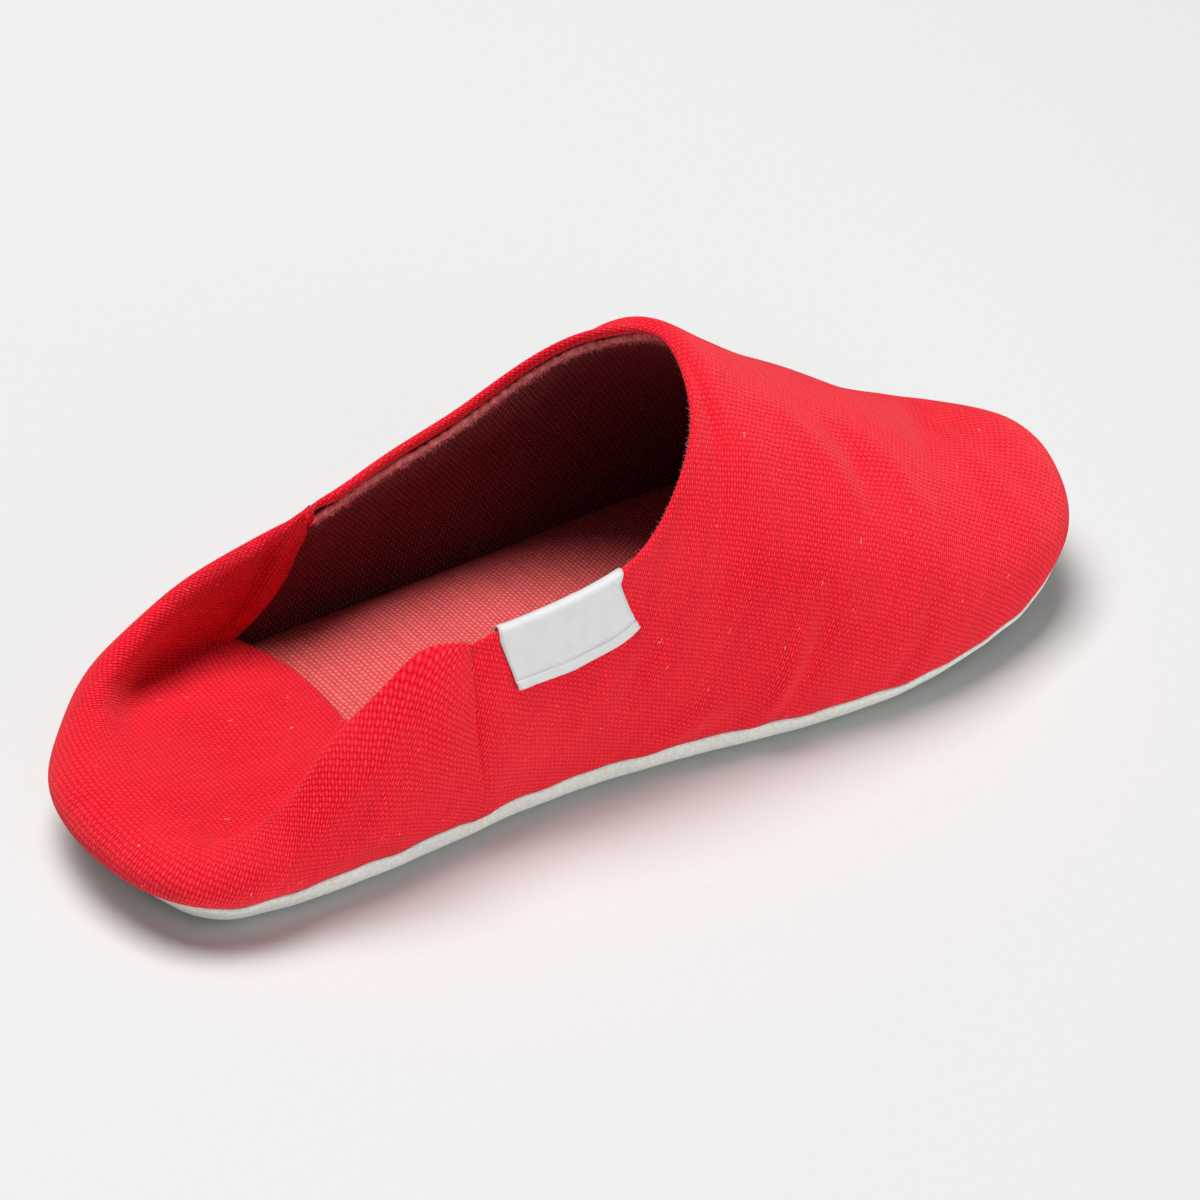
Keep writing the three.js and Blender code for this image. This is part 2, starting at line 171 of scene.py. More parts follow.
# A centripetal curve through points, read at shares t from 0 to 1.
def curveThrough(points, t, closed=False):
    points = np.asarray(points, float)
    count = len(points)
    place = np.asarray(t, float) * (count if closed else count - 1)
    first = np.floor(place).astype(int)
    if closed:
        near = [points[(first + k) % count] for k in (-1, 0, 1, 2)]
    else:
        first = np.minimum(first, count - 2)
        longer = np.vstack([2 * points[0] - points[1], points, 2 * points[-1] - points[-2]])
        near = [longer[first + k] for k in range(4)]
    weight = (place - first)[:, None]
    steps = [np.linalg.norm(b - a, axis=1, keepdims=True) ** 0.5 for a, b in zip(near, near[1:])]
    before, here, after = (np.maximum(step, 1e-2) for step in steps)
    p0, p1, p2, p3 = near
    leave = ((p1 - p0) / before - (p2 - p0) / (before + here) + (p2 - p1) / here) * here
    arrive = ((p2 - p1) / here - (p3 - p1) / (here + after) + (p3 - p2) / after) * here
    cubic = 2 * p1 - 2 * p2 + leave + arrive
    square = -3 * p1 + 3 * p2 - 2 * leave - arrive
    return p1 + leave * weight + square * weight**2 + cubic * weight**3


def seamPath(side):
    length, width = slipper["soleLength"], slipper["ballWidth"]
    tip = (length, slipper["tipHalf"] * width, 0)
    heel = (0, slipper["heelHalf"] * width, 0)
    rows = list(zip(outline["along"] * length, outline["outer"] * width, outline["inner"] * width))
    inner = [(x, -half, 0) for x, outer, half in reversed(rows)]
    outer = [(x, half, 0) for x, half, inner in rows]
    t = np.linspace(0, 0.5, 801)
    path = curveThrough([tip, *inner, heel, *outer], t if side < 0 else (1 - t) % 1, closed=True)
    return path, runOf(path)


seamPaths = {side: seamPath(side) for side in (-1, 1)}
seamLength = seamPaths[-1][1][-1]


def planAt(side, ways):
    path, lengths = seamPaths[side]
    return readLine(path, lengths, np.asarray(ways) * lengths[-1])


def outwardAt(side, ways, step=0.004):
    late, early = ways + step > 1, ways - step < 0
    ahead = np.where(late[:, None], planAt(-side, 2 - ways - step), planAt(side, np.minimum(1, ways + step)))
    behind = np.where(early[:, None], planAt(-side, step - ways), planAt(side, np.maximum(0, ways - step)))
    along = unit(ahead - behind)
    return side * np.stack([along[:, 1], -along[:, 0], 0 * ways], -1)


def springAt(x):
    along = x / slipper["soleLength"]
    toe = np.maximum(0, (along - slipper["toeSpringStart"]) / (1 - slipper["toeSpringStart"]))
    heel = np.maximum(0, (slipper["heelSpringEnd"] - along) / slipper["heelSpringEnd"])
    return slipper["toeSpring"] * toe**1.7 + slipper["heelSpring"] * heel**2


# The seam pulls the edge up and down a little, most where the thick side seam runs into it.
sewing = {
    "wave": 0.28,
    "waves": ((9, 0.4), (14, 2.1), (23, 4.0)),  # how many to a side, and where they start
    "seamDrop": 0.9,
    "seamReach": 0.012,
}


def rimWave(side, ways):
    wave = sum(np.sin(2 * math.pi * count * ways + start * (side + 2)) for count, start in sewing["waves"])
    drop = bell(ways - seamWay, sewing["seamReach"])
    return sewing["wave"] * wave / 1.8 - sewing["seamDrop"] * drop


def rimPoint(side, ways, inset, height, waved=0.0):
    plan = planAt(side, ways)
    point = plan - outwardAt(side, ways) * inset
    point[:, 2] = springAt(plan[:, 0]) + height + waved * rimWave(side, ways)
    return point


def footOf(side, ways):
    return rimPoint(side, ways, 0, slipper["rimHeight"] + slipper["seamGap"], waved=1.0)


def middleAt(along):
    reach = np.maximum(0, (along - 0.6) / 0.4)
    return slipper["tipHalf"] * slipper["ballWidth"] * reach**1.5


def bezier(controls, t):
    a, b, c, d = (controls[:, k, None, :] for k in range(4))
    t = t[None, :, None]
    rest = 1 - t
    return a * rest**3 + 3 * b * t * rest**2 + 3 * c * t**2 * rest + d * t**3


def wallControls(side, ways):
    read = reader(wallRibs, ways)
    start = footOf(side, ways)
    along, half = read("topAlong"), read("innerHalf" if side < 0 else "outerHalf")
    across = middleAt(along) + side * half * slipper["ballWidth"]
    top = np.hstack([along * slipper["soleLength"], across, read("topHeight") * slipper["instepHeight"]])
    level = unit((start - top) * (1, 1, 0))
    level = unit(level * (1 - read("square")) + np.array([0, side, 0]) * read("square"))
    lean, reach = np.radians(read("lean")), read("reach")
    swell = start + outwardAt(side, ways) * read("out") * slipper["swell"]
    swell = swell + up * read("rise") * (top - start)[:, 2:]
    ease = top + level * np.cos(lean) * reach - up * np.sin(lean) * reach
    return np.stack([start, swell, ease, top], 1)


def tabledRidge(side, ways):
    read, face = reader(heelRibs, ways), "inner" if side < 0 else "outer"
    ridge = rimPoint(side, ways, read(face + "In"), 0)
    ridge[:, 2:] = read(face + "Up")
    return ridge


trodden = {
    "swell": 1.7,
    "swellUp": 0.35,
    "foldWidth": 2.8,
    "foldedBy": 0.03,  # share of the way over which the wall turns into the fold
    "middle": -2.0,
    "shoulderDown": 0.18,  # heights as shares of the way down to the valley and to the edge
    "lapDown": 0.85,
    "overRoll": 1.1,  # how far the folded corner stands over the end of the vamp's topline
    "corner": ((0.0, 0.0), (1.1, 0.1), (1.9, -0.7), (2.1, -1.8), (2.1, -3.0)),  # in from the fold, and up
    "cornerWay": 0.022,
    "lobe": (2.3, -0.8, 0.0),  # the free edge hangs out a little beside the corner
    "lobeWay": 0.6858,
    "lobeWidth": 0.0052,
    "lobeHang": (0.35, 0.7, 1.0),
}


def ridgeAt(side, ways):
    seam = np.array([seamWay])
    lead = wallControls(side, seam)[:, 3] + up * trodden["overRoll"] - tabledRidge(side, seam)
    left = 1 - smoothstep(ways, seamWay, seamWay + slipper["seamLead"])
    return tabledRidge(side, ways) + lead * left[:, None]


def heelWallControls(side, ways):
    read = reader(heelRibs, ways)
    start, outward, ridge = footOf(side, ways), outwardAt(side, ways), ridgeAt(side, ways)
    rise = (ridge - start)[:, 2:]
    folded = smoothstep(ways, seamWay, seamWay + trodden["foldedBy"])[:, None]
    swell = start + outward * read("out") * trodden["swell"] + up * rise * trodden["swellUp"]
    ease = ridge + outward * read("round") * (0.6 + 0.4 * folded) - up * ((1 - folded) * 6 + rise * 0.05)
    return np.stack([start, swell, ease, ridge], 1)


def flapKnots(side, ways):
    read = reader(heelRibs, ways)
    ridge = ridgeAt(side, ways)
    valley = rimPoint(side, ways, read("valleyIn"), 0)
    valley[:, 2:] = read("valleyUp")
    edge = np.hstack([read("edgeAlong"), trodden["middle"] + side * read("edgeHalf"), read("edgeUp")])
    lobe = bell(ways - trodden["lobeWay"], trodden["lobeWidth"])[:, None]
    out = outwardAt(side, ways)
    shoulder = ridge - out * trodden["foldWidth"]
    shoulder[:, 2] = ridge[:, 2] + trodden["shoulderDown"] * (valley - ridge)[:, 2]
    lap = (valley + edge) / 2
    lap[:, 2] = valley[:, 2] + trodden["lapDown"] * (edge - valley)[:, 2]
    knots = np.stack([ridge, shoulder, valley, lap, edge], 1)
    corner = np.stack([ridge - out * inward + up * rise for inward, rise in trodden["corner"]], 1)
    share = smoothstep(ways, seamWay, seamWay + trodden["cornerWay"])[:, None, None]
    made = corner + (knots - corner) * share
    hung = lobe * np.array(trodden["lobe"]) * (1, side, 1)
    made[:, 2:] += hung[:, None] * np.array(trodden["lobeHang"])[:, None]
    return made


# Reads each line of points at an even spacing.
def evenly(lines, count):
    runs = [runOf(line) for line in lines]
    return np.array([readLine(line, run, np.linspace(0, run[-1], count)) for line, run in zip(lines, runs)])


fineSteps = np.linspace(0, 1, 241)


def wallLines(controls, count):
    return evenly(bezier(controls, fineSteps), count)


# Four-cornered faces between points that stand in rows and columns.
def quadsOf(index):
    corners = [index[:-1, :-1], index[1:, :-1], index[1:, 1:], index[:-1, 1:]]
    return np.stack(corners, -1).reshape(-1, 4)


def gridFaces(rows, columns):
    return quadsOf(np.arange(rows * columns).reshape(rows, columns))


def welded(points, faces, close=1e-3):
    keys = np.round(points / close).astype(np.int64)
    _, first, index = np.unique(keys, axis=0, return_index=True, return_inverse=True)
    return points[first], index.ravel()[faces], index.ravel()


def normalsOf(points, faces):
    corners = points[faces]
    normal = np.cross(corners[:, 2] - corners[:, 0], corners[:, -1] - corners[:, 1])
    total = np.zeros_like(points)
    for k in range(faces.shape[1]):
        np.add.at(total, faces[:, k], normal)
    return unit(total)


def edgesOf(faces):
    pairs = np.stack([faces, np.roll(faces, -1, 1)], -1).reshape(-1, 2)
    pairs = pairs[pairs[:, 0] != pairs[:, 1]]
    return np.unique(np.sort(pairs, 1), axis=0, return_counts=True)


# Evens out a sheet and leaves its border where it is.
def relaxed(points, faces, times, held=None):
    edges, uses = edgesOf(faces)
    count = len(points)
    free = np.ones(count, bool)
    free[edges[uses == 1].ravel()] = False
    if held is not None:
        free[held] = False
    both = np.concatenate([edges, edges[:, ::-1]])
    share = np.maximum(np.bincount(both[:, 0], minlength=count), 1)[:, None]
    points = points.copy()
    for _ in range(times):
        near = np.stack([np.bincount(both[:, 0], points[both[:, 1], k], count) for k in range(3)], -1) / share
        points[free] += 0.5 * (near - points)[free]
    return points


def distanceToLine(points, line):
    line = np.asarray(line, float)
    best = np.full(len(points), 1e9)
    place = np.zeros(len(points))
    lengths = runOf(line)
    for k, (a, b) in enumerate(zip(line, line[1:])):
        t = np.clip((points - a) @ (b - a) / max((b - a) @ (b - a), 1e-9), 0, 1)
        away = np.linalg.norm(points - a - t[:, None] * (b - a), axis=1)
        closer = away < best
        best[closer] = away[closer]
        place[closer] = (lengths[k] + t * (lengths[k + 1] - lengths[k]))[closer] / lengths[-1]
    return best, place


# Soft troughs and ridges: each follows a line laid onto the cloth, fades at its ends and moves the cloth
# along its normal.
def creased(points, normals, creases):
    push = np.zeros(len(points))
    for width, height, *line in creases:
        line = curveThrough(line, np.linspace(0, 1, 20))
        line = np.array([points[np.argmin(((points - p) ** 2).sum(1))] for p in line])
        line[1:-1] = (line[:-2] + 2 * line[1:-1] + line[2:]) / 4
        away, place = distanceToLine(points, line)
        fade = np.sin(math.pi * np.clip(place, 0.02, 0.98)) ** 0.6
        push += height * bell(away, width) * fade
    return points + normals * push[:, None]


# Slow unevenness of hand-sewn cloth, from a few waves in fixed directions.
def uneven(points, size, height, seed):
    draw = np.random.default_rng(seed)
    total = np.zeros(len(points))
    for _ in range(9):
        direction = unit(draw.normal(size=3)) * 2 * math.pi / (size * draw.uniform(0.7, 1.6))
        total += np.sin(points @ direction + draw.uniform(0, 2 * math.pi))
    return height * total / 3


# A sheet's slow unevenness above the seam and its creases.
def worked(points, faces, sheet):
    normals = normalsOf(points, faces)
    push = uneven(points, *sheet["uneven"]) * smoothstep(points[:, 2], *sheet["unevenFrom"])
    return creased(points + normals * push[:, None], normals, sheet["creases"]), normals


# The slipper's own millimetres to the frame's metres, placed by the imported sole.
soleLow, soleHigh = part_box("sole")
rimPlan = np.vstack([seamPaths[side][0] for side in (-1, 1)])
shift = np.array([
    soleLow.x * 1000 - rimPlan[:, 0].min(),
    soleLow.y * 1000 - rimPlan[:, 1].min(),
    0.0,
])


def toFrame(points):
    return (np.asarray(points, float) + shift) / 1000


def placed(name, data):
    made = bpy.data.objects.new(name, data)
    bpy.context.scene.collection.objects.link(made)
    return made


def makeMesh(name, points, faces, material):
    mesh = bpy.data.meshes.new(name)
    mesh.from_pydata(toFrame(points).tolist(), [], [[int(i) for i in dict.fromkeys(face)] for face in faces])
    mesh.validate()
    piece = placed(name, mesh)
    mesh.shade_smooth()
    mesh.materials.append(material)
    return piece


def thicken(piece, cloth, offset=-1):
    thick = piece.modifiers.new("thickness", "SOLIDIFY")
    thick.thickness = cloth / 1000
    thick.offset = offset
    return thick


def arrayOf(items, name, width=1, kind=np.float32):
    made = np.zeros(len(items) * width, kind)
    items.foreach_get(name, made)
    return made.reshape(-1, width) if width > 1 else made


# Lays a sheet flat as the cloth it was cut from. The map is in millimetres, its u along the grain line.
def layFlat(piece, grainFrom, grainTo):
    mesh = piece.data
    for other in bpy.context.selected_objects:
        other.select_set(False)
    piece.select_set(True)
    bpy.context.view_layer.objects.active = piece
    mesh.uv_layers.new(name="clothMap")
    bpy.ops.object.mode_set(mode="EDIT")
    bpy.ops.mesh.select_all(action="SELECT")
    bpy.ops.uv.unwrap(method="ANGLE_BASED", margin=0)
    bpy.ops.object.mode_set(mode="OBJECT")
    layer = mesh.uv_layers["clothMap"].uv
    flat = arrayOf(layer, "vector", 2).astype(float)
    place = np.zeros((len(mesh.vertices), 2))
    place[arrayOf(mesh.loops, "vertex_index", kind=np.int32)] = flat
    starts, totals, areas = (np.array([getattr(polygon, name) for polygon in mesh.polygons])
                             for name in ("loop_start", "loop_total", "area"))
    quads = starts[totals == 4]
    a, b, c, d = (flat[quads + k] for k in range(4))
    crossed = (c - a)[:, 0] * (d - b)[:, 1] - (c - a)[:, 1] * (d - b)[:, 0]
    scale = math.sqrt(areas[totals == 4].sum() * 1e6 / (np.abs(crossed).sum() / 2))
    line = place[grainTo] - place[grainFrom]
    turn = -math.atan2(line[1], line[0])
    spin = np.array([[math.cos(turn), -math.sin(turn)], [math.sin(turn), math.cos(turn)]])
    flat = (flat - place[grainFrom]) @ spin.T * scale
    layer.foreach_set("vector", flat.astype(np.float32).ravel())


# Nodes of the materials.
def newMaterial(name):
    material = bpy.data.materials.new(name)
    material.use_nodes = True
    return material, material.node_tree, material.node_tree.nodes["Principled BSDF"]


def put(tree, kind, settings=None, **inputs):
    made = tree.nodes.new(kind)
    for key, value in (settings or {}).items():
        setattr(made, key, value)
    for key, value in inputs.items():
        socket = made.inputs[int(key[2:])] if key.startswith("in") else made.inputs[key]
        if isinstance(value, bpy.types.NodeSocket):
            tree.links.new(value, socket)
        else:
            socket.default_value = value
    return made


def sums(tree, operation, a, b=0.0, c=0.0):
    return put(tree, "ShaderNodeMath", {"operation": operation}, in0=a, in1=b, in2=c).outputs[0]


def shift3(tree, operation, a, b):
    return put(tree, "ShaderNodeVectorMath", {"operation": operation}, in0=a, in1=b).outputs[0]


def noise(tree, place, scale, detail, rough=0.5, flat=False):
    settings = {"noise_dimensions": "2D" if flat else "3D"}
    return put(tree, "ShaderNodeTexNoise", settings, Vector=place, Scale=scale, Detail=detail,
               Roughness=rough)


surface = ("Roughness", "Specular IOR Level", "Sheen Weight", "Sheen Roughness", "Sheen Tint")


# A material's colour, its bump of a height in millimetres, and its surface in the order above.
def dress(tree, shader, colour, values, height=None, strength=0, distance=0):
    tree.links.new(colour, shader.inputs["Base Color"])
    for name, value in zip(surface, values):
        shader.inputs[name].default_value = value
    if height:
        bump = put(tree, "ShaderNodeBump", Strength=strength, Distance=distance / 1000, Height=height)
        tree.links.new(bump.outputs[0], shader.inputs["Normal"])


def ramp(tree, value, stops):
    made = put(tree, "ShaderNodeValToRGB", in0=value)
    stops = list(stops)
    elements = made.color_ramp.elements
    while len(elements) < len(stops):
        elements.new(0.5)
    for element, (position, colour) in zip(elements, stops):
        element.position = position
        element.color = (*colour, 1)
    return made.outputs["Color"]


def mixed(tree, share, a, b, blend="MIX"):
    a, b = ((*value, 1) if isinstance(value, tuple) else value for value in (a, b))
    settings = {"data_type": "RGBA", "blend_type": blend}
    return put(tree, "ShaderNodeMix", settings, in0=share, in6=a, in7=b).outputs[2]


# A plain weave: threads that run up stand over the cross threads at every other crossing.
def plainWeave(tree, cloth):
    place = put(tree, "ShaderNodeUVMap", {"uv_map": "clothMap"}).outputs[0]
    wander = noise(tree, place, 0.16, 2.0, flat=True).outputs["Color"]
    wander = shift3(tree, "SUBTRACT", wander, (0.5,) * 3)
    moved = put(tree, "ShaderNodeVectorMath", {"operation": "SCALE"}, in0=wander, Scale=cloth["wander"])
    place = shift3(tree, "ADD", place, moved.outputs[0])
    parts = put(tree, "ShaderNodeSeparateXYZ", in0=place)
    u = sums(tree, "DIVIDE", parts.outputs[0], cloth["warpPitch"])
    v = sums(tree, "DIVIDE", parts.outputs[1], cloth["weftPitch"])
    column, row = sums(tree, "FLOOR", u), sums(tree, "FLOOR", v)

    def thread(across, along, other, start):
        arch = sums(tree, "ABSOLUTE", sums(tree, "SINE", sums(tree, "MULTIPLY", across, math.pi)))
        arch = sums(tree, "POWER", arch, 0.7)
        phase = sums(tree, "ADD", sums(tree, "ADD", along, other), start)
        lift = sums(tree, "SINE", sums(tree, "MULTIPLY", phase, math.pi))
        return sums(tree, "MULTIPLY", arch, sums(tree, "MULTIPLY_ADD", lift, 0.5, 0.5))

    warp = thread(u, v, column, 0.0)
    weft = sums(tree, "MULTIPLY", thread(v, u, row, 1.0), cloth["weftRise"])
    height = sums(tree, "MAXIMUM", warp, weft)
    cell = put(tree, "ShaderNodeCombineXYZ", in0=column, in1=row).outputs[0]
    each = put(tree, "ShaderNodeTexWhiteNoise", {"noise_dimensions": "2D"}, Vector=cell).outputs["Value"]
    single = put(tree, "ShaderNodeTexWhiteNoise", {"noise_dimensions": "1D"}, in1=column)
    return place, height, each, single.outputs["Value"]


def clothMaterial(name, cloth):
    material, tree, shader = newMaterial(name)
    place, height, each, single = plainWeave(tree, cloth)
    # The colour follows the weave's height: painted shade in the gaps between threads, the thread's own
    # colour, and painted highlight on the thread tops.
    colour = ramp(tree, height, [(0.06, cloth["gapShade"]), (0.48, cloth["thread"]), (1.0, cloth["crestHighlight"])])
    spread = cloth["perThread"]
    differs, streak = (sums(tree, "MULTIPLY_ADD", value, spread, 1 - spread / 2) for value in (each, single))
    shade = sums(tree, "MULTIPLY", differs, streak)
    grey = put(tree, "ShaderNodeCombineColor", in0=shade, in1=shade, in2=shade).outputs[0]
    colour = mixed(tree, 1.0, colour, grey, "MULTIPLY")
    whole = put(tree, "ShaderNodeTexCoord").outputs["Object"]
    worn = noise(tree, whole, cloth["cloudScale"], 4.0, 0.6).outputs[0]
    cloud = ramp(tree, worn, [(0.35, (0, 0, 0)), (0.7, (1, 1, 1))])
    cloud = sums(tree, "MULTIPLY", cloud, cloth["cloudShare"])
    colour = mixed(tree, cloud, colour, cloth["faded"])
    # Lint: small pale fibres, few and scattered.
    bent = put(tree, "ShaderNodeMapping", in0=place, Rotation=(0, 0, 0.6), Scale=(1, 0.42, 1)).outputs[0]
    bent = shift3(tree, "ADD", bent, noise(tree, place, 0.9, 1.0, flat=True).outputs["Color"])
    spots = put(tree, "ShaderNodeTexVoronoi", {"voronoi_dimensions": "2D"}, Vector=bent,
                Scale=1 / cloth["lintSpacing"])
    close = sums(tree, "LESS_THAN", spots.outputs["Distance"], cloth["lintSize"] / cloth["lintSpacing"])
    chosen = put(tree, "ShaderNodeSeparateColor", in0=spots.outputs["Color"]).outputs[0]
    chosen = sums(tree, "GREATER_THAN", chosen, 1 - cloth["lintShare"])
    lint = sums(tree, "MULTIPLY", sums(tree, "MULTIPLY", close, chosen), 0.75)
    colour = mixed(tree, lint, colour, cloth["lint"])
    rough = noise(tree, place, 5.0, 2.0, flat=True).outputs[0]
    height = sums(tree, "ADD", height, sums(tree, "MULTIPLY", rough, cloth["fibre"]))
    values = (0.92, 0.1, cloth["sheen"], 0.45, (*cloth["sheenTint"], 1))
    dress(tree, shader, colour, values, height, cloth["bump"], cloth["thick"])
    return material


redCanvas = {
    "warpPitch": 0.65,  # millimetres between threads
    "weftPitch": 1.15,
    "weftRise": 0.66,
    "wander": 0.9,
    # Painted shade in the gaps between threads, the thread's own red, and painted highlight on the thread
    # tops.
    "gapShade": (0.34, 0.0, 0.005),
    "thread": (0.94, 0.004, 0.025),
    "crestHighlight": (1.0, 0.046, 0.060),
    "faded": (0.95, 0.050, 0.065),
    "perThread": 0.12,
    "cloudScale": 38.0,
    "cloudShare": 0.20,
    "lint": (0.95, 0.50, 0.48),
    "lintSpacing": 4.5,
    "lintSize": 0.09,
    "lintShare": 0.22,
    "fibre": 0.35,
    "bump": 1.0,
    "thick": 0.34,
    "sheen": 0.22,
    "sheenTint": (1.0, 0.36, 0.38),
}
# The lining is the insole's rose cloth painted far darker: painted shade for the inside of the walls, which
# the light hardly reaches.
shadedRoseLining = {
    **redCanvas,
    "warpPitch": 1.03,
    "weftPitch": 0.67,
    "weftRise": 0.6,
    "wander": 0.6,
    # Painted shade in the gaps between threads, the thread's own colour, and painted highlight on the thread
    # tops.
    "gapShade": (0.07, 0.008, 0.012),
    "thread": (0.20, 0.034, 0.040),
    "crestHighlight": (0.40, 0.125, 0.125),
    "faded": (0.28, 0.064, 0.066),
    "perThread": 0.13,
    "cloudShare": 0.1,
    "lintShare": 0.06,
    "sheen": 0.06,
    "sheenTint": (1.0, 0.75, 0.72),
}
roseInsole = {
    **shadedRoseLining,
    # Painted shade in the gaps between threads, the thread's own rose, and painted highlight on the thread
    # tops.
    "gapShade": (0.40, 0.030, 0.036),
    "thread": (0.82, 0.100, 0.105),
    "crestHighlight": (0.95, 0.260, 0.250),
    "faded": (0.88, 0.180, 0.175),
    "bump": 1.0,
}


def suedeMaterial():
    material, tree, shader = newMaterial("paleSuede")
    place = put(tree, "ShaderNodeTexCoord").outputs["Object"]
    grain = noise(tree, place, 1500.0, 3.0, 0.65).outputs[0]
    pebble = put(tree, "ShaderNodeTexVoronoi", {"feature": "SMOOTH_F1"}, Vector=place, Scale=1050.0)
    pebble = pebble.outputs["Distance"]
    cloud = noise(tree, place, 26.0, 3.0).outputs[0]
    # The pebbles' hollows, where the bump sinks, are painted darker: painted shade.
    colour = ramp(tree, pebble, [(0.05, (0.78, 0.79, 0.74)), (0.55, (0.65, 0.66, 0.62))])
    nap = ramp(tree, cloud, [(0.35, (0.93, 0.93, 0.93)), (0.65, (1.0, 1.0, 1.0))])
    height = sums(tree, "ADD", grain, sums(tree, "MULTIPLY", pebble, -0.8))
    colour = mixed(tree, 1.0, colour, nap, "MULTIPLY")
    dress(tree, shader, colour, (0.95, 0.15, 0.2, 0.5), height, 0.55, 0.35)
    return material


def satinMaterial():
    material, tree, shader = newMaterial("whiteSatin")
    place = put(tree, "ShaderNodeUVMap", {"uv_map": "clothMap"}).outputs[0]
    parts = put(tree, "ShaderNodeSeparateXYZ", in0=place)
    fine = sums(tree, "SINE", sums(tree, "MULTIPLY", parts.outputs[1], 2 * math.pi / 0.22))
    cross = sums(tree, "SINE", sums(tree, "MULTIPLY", parts.outputs[0], 2 * math.pi / 0.5))
    height = sums(tree, "ADD", fine, sums(tree, "MULTIPLY", cross, 0.3))
    cloud = noise(tree, place, 0.3, 2.0).outputs[0]
    colour = ramp(tree, cloud, [(0.3, (0.58, 0.585, 0.595)), (0.7, (0.62, 0.625, 0.63))])
    dress(tree, shader, colour, (0.42, 0.5, 0.1), height, 0.25, 0.06)
    return material


canvasRed = clothMaterial("redCanvas", redCanvas)
shadedLiningMaterial = clothMaterial("shadedRoseLining", shadedRoseLining)
insoleRose = clothMaterial("roseInsole", roseInsole)
paleSuede = suedeMaterial()
whiteSatin = satinMaterial()
print("slipper: materials made")

# Vamp and side walls: one sheet of canvas from side seam to side seam, its topline rolled in.
vamp = {
    "ribStep": 1.3,  # millimetres along the seam line
    "columns": 78,
    "evened": 14,  # times
    "cloth": 0.8,
    "rollRadius": 1.0,
    "rollEnds": (0.55, 5),  # share of the radius at the ends, and over how many ribs it grows
    "rollSoftened": 3.0,
    "toeSoftened": 7.0,  # round the place where the ribs meet over the toe
    "facing": (0.5, 0.9, 1.3),  # rings below the roll, and one turned back at its end
    "facingEnd": (1.3, 1.7),
    "seamDip": 0.06,
    "seamWidth": 0.8,
    "seamPuff": (0.25, 3.4, 2.0),  # height, distance from the seam and width
    "tuck": ((0.7, 0.25), (1.5, 0.75), (2.3, 1.3)),  # beyond the side seam, and in under the quarter
    "uneven": (34, 0.3, 5),  # size, height and seed
    "unevenFrom": (9, 20),  # the heights over which it grows
    "creases": [  # width, height and the points of the line
        (2.8, 1.8, (140, -44, 8), (145, -45, 15), (148, -45, 23), (152, -44, 33)),
        (2.6, -1.0, (145, -45, 10), (151, -46, 18), (155, -45, 27), (158, -42, 37)),
        (3.4, 1.1, (117, -39, 8), (123, -41, 12), (130, -43, 16), (138, -45, 17)),
        (4.0, 1.3, (160, -16, 68), (164, -22, 63), (168, -28, 57), (174, -37, 46)),
        (3.4, -1.1, (172, -16, 62), (175, -20, 58), (176, -27, 54), (172, -37, 46)),
        (4.0, 1.1, (183, -18, 55), (185, -24, 51), (187, -31, 46), (191, -37, 39)),
        (3.0, -1.0, (172, -47, 8), (177, -47, 13), (181, -46, 20), (184, -42, 29)),
        (4.2, -0.9, (222, 12, 34), (215, 1, 39), (209, -8, 42), (203, -17, 44), (200, -28, 41)),
        (5.0, 0.7, (219, -4, 39), (216, -16, 39), (217, -29, 34), (222, -36, 25)),
        (3.6, -1.0, (120, -42, 42), (114, -42, 36), (109, -42, 29), (107, -42, 20)),
        (5.5, -0.6, (95, -41, 16), (91, -41, 27), (94, -39, 38)),
        (4.5, -0.9, (150, 40, 24), (156, 37, 36), (162, 30, 48)),
        (4.0, 0.6, (158, 42, 18), (164, 38, 32), (171, 30, 44)),
        (5.0, 0.6, (120, 41, 22), (124, 40, 36), (131, 36, 48)),
    ],
}


def vampWays(step):
    throat = slipper["throatWay"]
    front = np.linspace(0, throat, round(throat * seamLength / step) + 1)
    back = np.linspace(throat, seamWay, round((seamWay - throat) * seamLength / step) + 1)
    return np.concatenate([front, back[1:]])


# The sheet's points, its faces, and its topline and side seams as lists of points by number. It can run on
# past the side seams by some ribs of the heel quarter.
def vampSheet(step, columns, past=()):
    ways = vampWays(step)
    past = np.asarray(past, float)

    def linesOf(side):
        lines = wallLines(wallControls(side, ways), columns)
        if len(past):
            lines = np.concatenate([lines, wallLines(heelWallControls(side, past), columns)])
        return lines

    lines = np.concatenate([linesOf(-1)[::-1], linesOf(1)[1:]])
    points, faces, index = welded(lines.reshape(-1, 3), gridFaces(len(lines), columns))
    index = index.reshape(len(lines), columns)
    ways = np.concatenate([ways, past])
    atTop = index[np.concatenate([ways[::-1], ways[1:]]) >= slipper["throatWay"] - 1e-6, -1]
    topline = atTop[np.concatenate([[True], np.diff(atTop) != 0])]
    line = points[topline]
    for _ in range(10):
        line[1:-1] += 0.5 * ((line[:-2] + line[2:]) / 2 - line[1:-1])
    points[topline] = line
    return relaxed(points, faces, vamp["evened"]), faces, index, topline


# Directions at a border: off the cloth's edge, and out from its face.
def borderFrame(points, faces, border):
    along = np.gradient(points[border], axis=0)
    kernel = np.ones(7) / 7
    normal = normalsOf(points, faces)[border]
    for values in (along, normal):
        ends = np.pad(values, ((3, 3), (0, 0)), "edge")
        values[:] = np.stack([np.convolve(ends[:, k], kernel, "valid") for k in range(3)], -1)
    along, normal = unit(along), unit(normal)
    off = unit(np.cross(normal, along))
    middle = points[faces].mean((0, 1))
    toward = np.sign(((points[border] - middle) * off).sum())
    return off * toward, unit(np.cross(along, off)) * np.sign((np.cross(along, off) * normal).sum())


